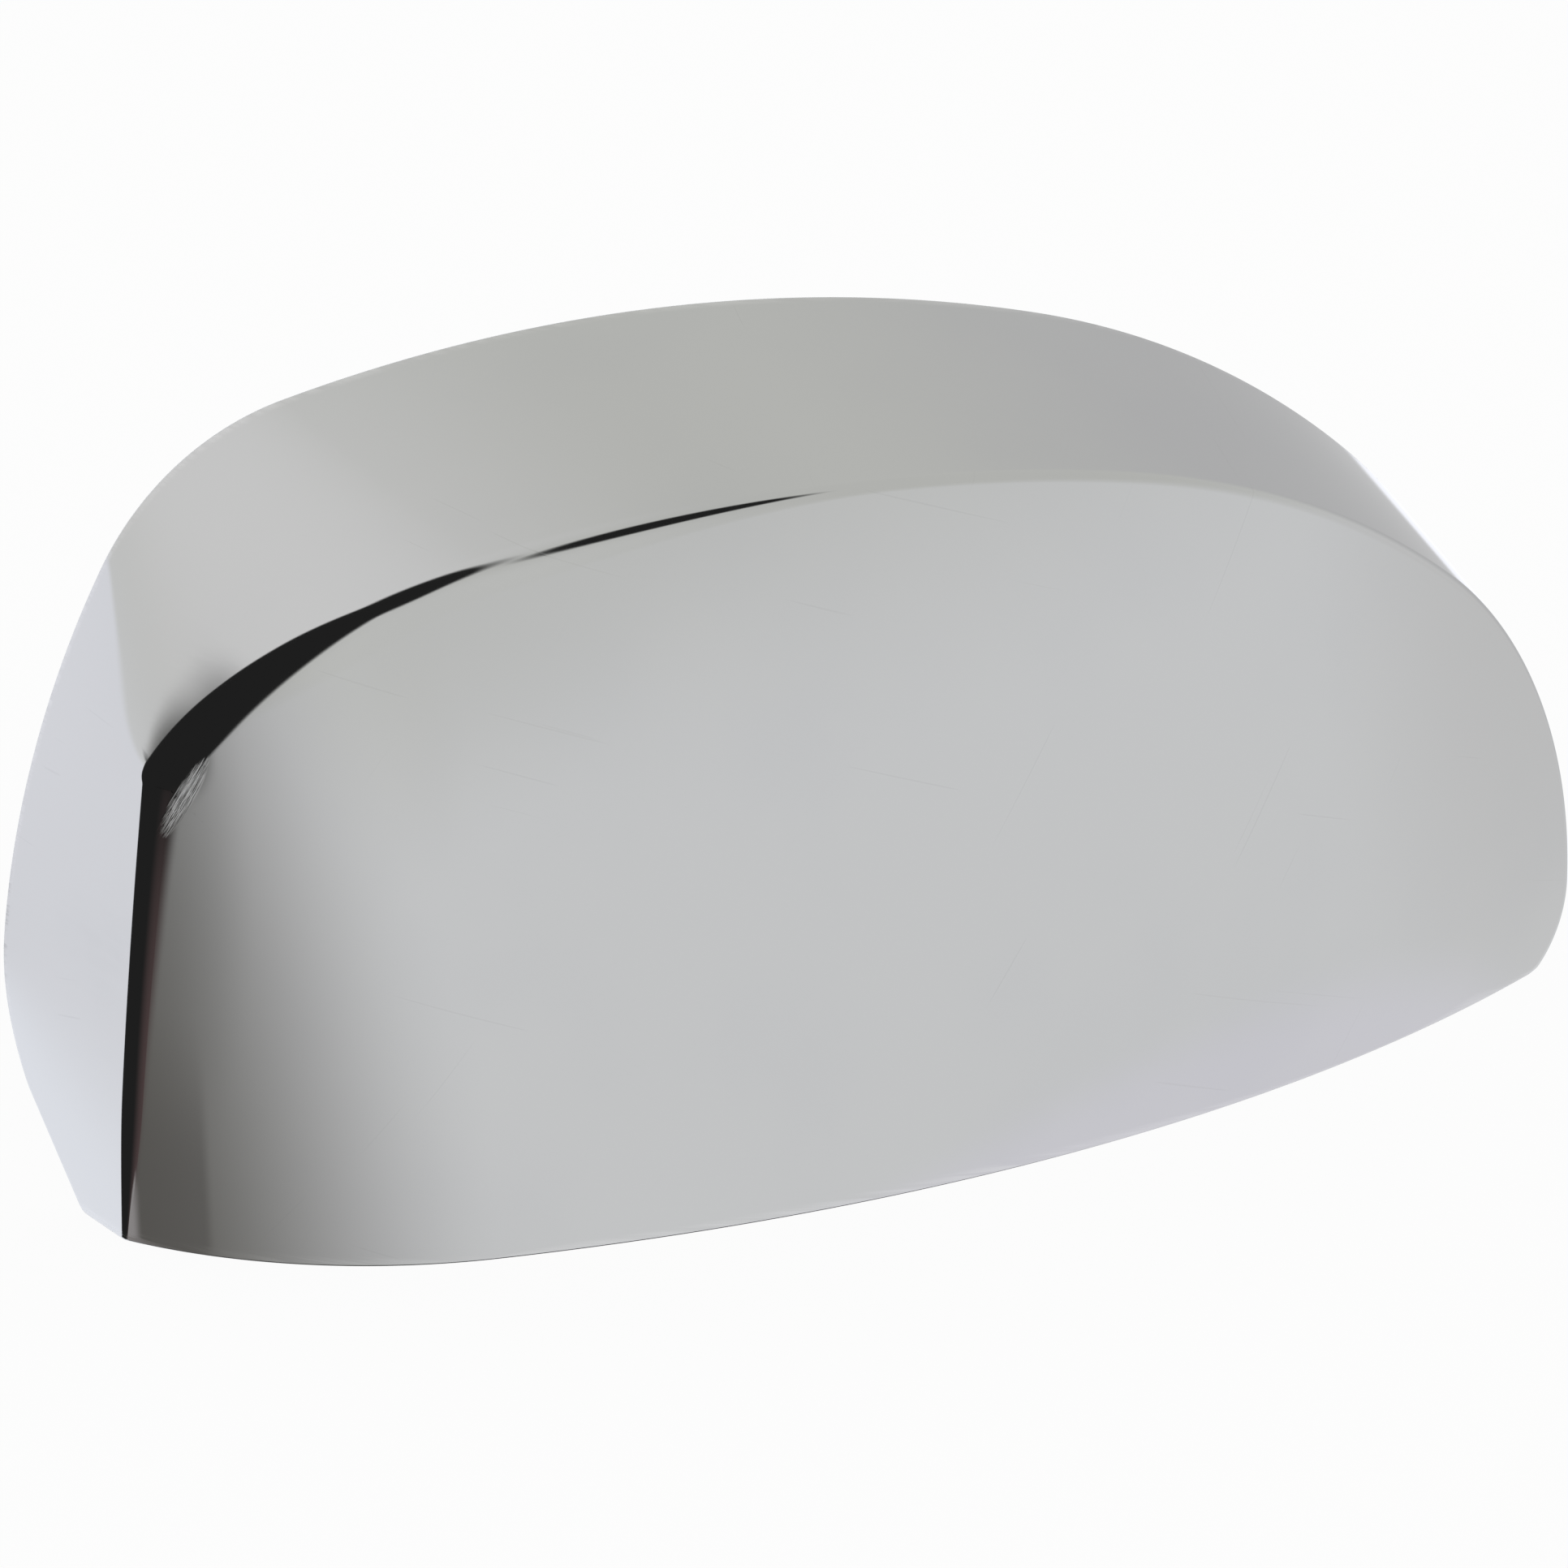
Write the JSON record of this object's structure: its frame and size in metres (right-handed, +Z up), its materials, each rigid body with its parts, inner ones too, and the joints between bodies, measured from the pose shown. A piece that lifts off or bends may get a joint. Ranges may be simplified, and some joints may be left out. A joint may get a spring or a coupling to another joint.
{
  "type": "wing mirror cover",
  "caption": "Polished stainless steel wing mirror cover: a crowned front face with a rounded crease and a wrapped wall, open behind and below, bonded over a mirror housing.",
  "frame": {"origin": "middle of the footprint, on the trimmed bottom edge", "axes": "+X to the right seen from the front, +Y rearward to the open rim, +Z up; the front face looks along -Y"},
  "size_m": [0.2111, 0.058, 0.0984],
  "materials": {
    "polished_steel": "stainless sheet, mirror polished outside and plain mill finish inside"
  },
  "bodies": {
    "root": {"mirror_cover": "polished_steel"}
  },
  "joints": []
}
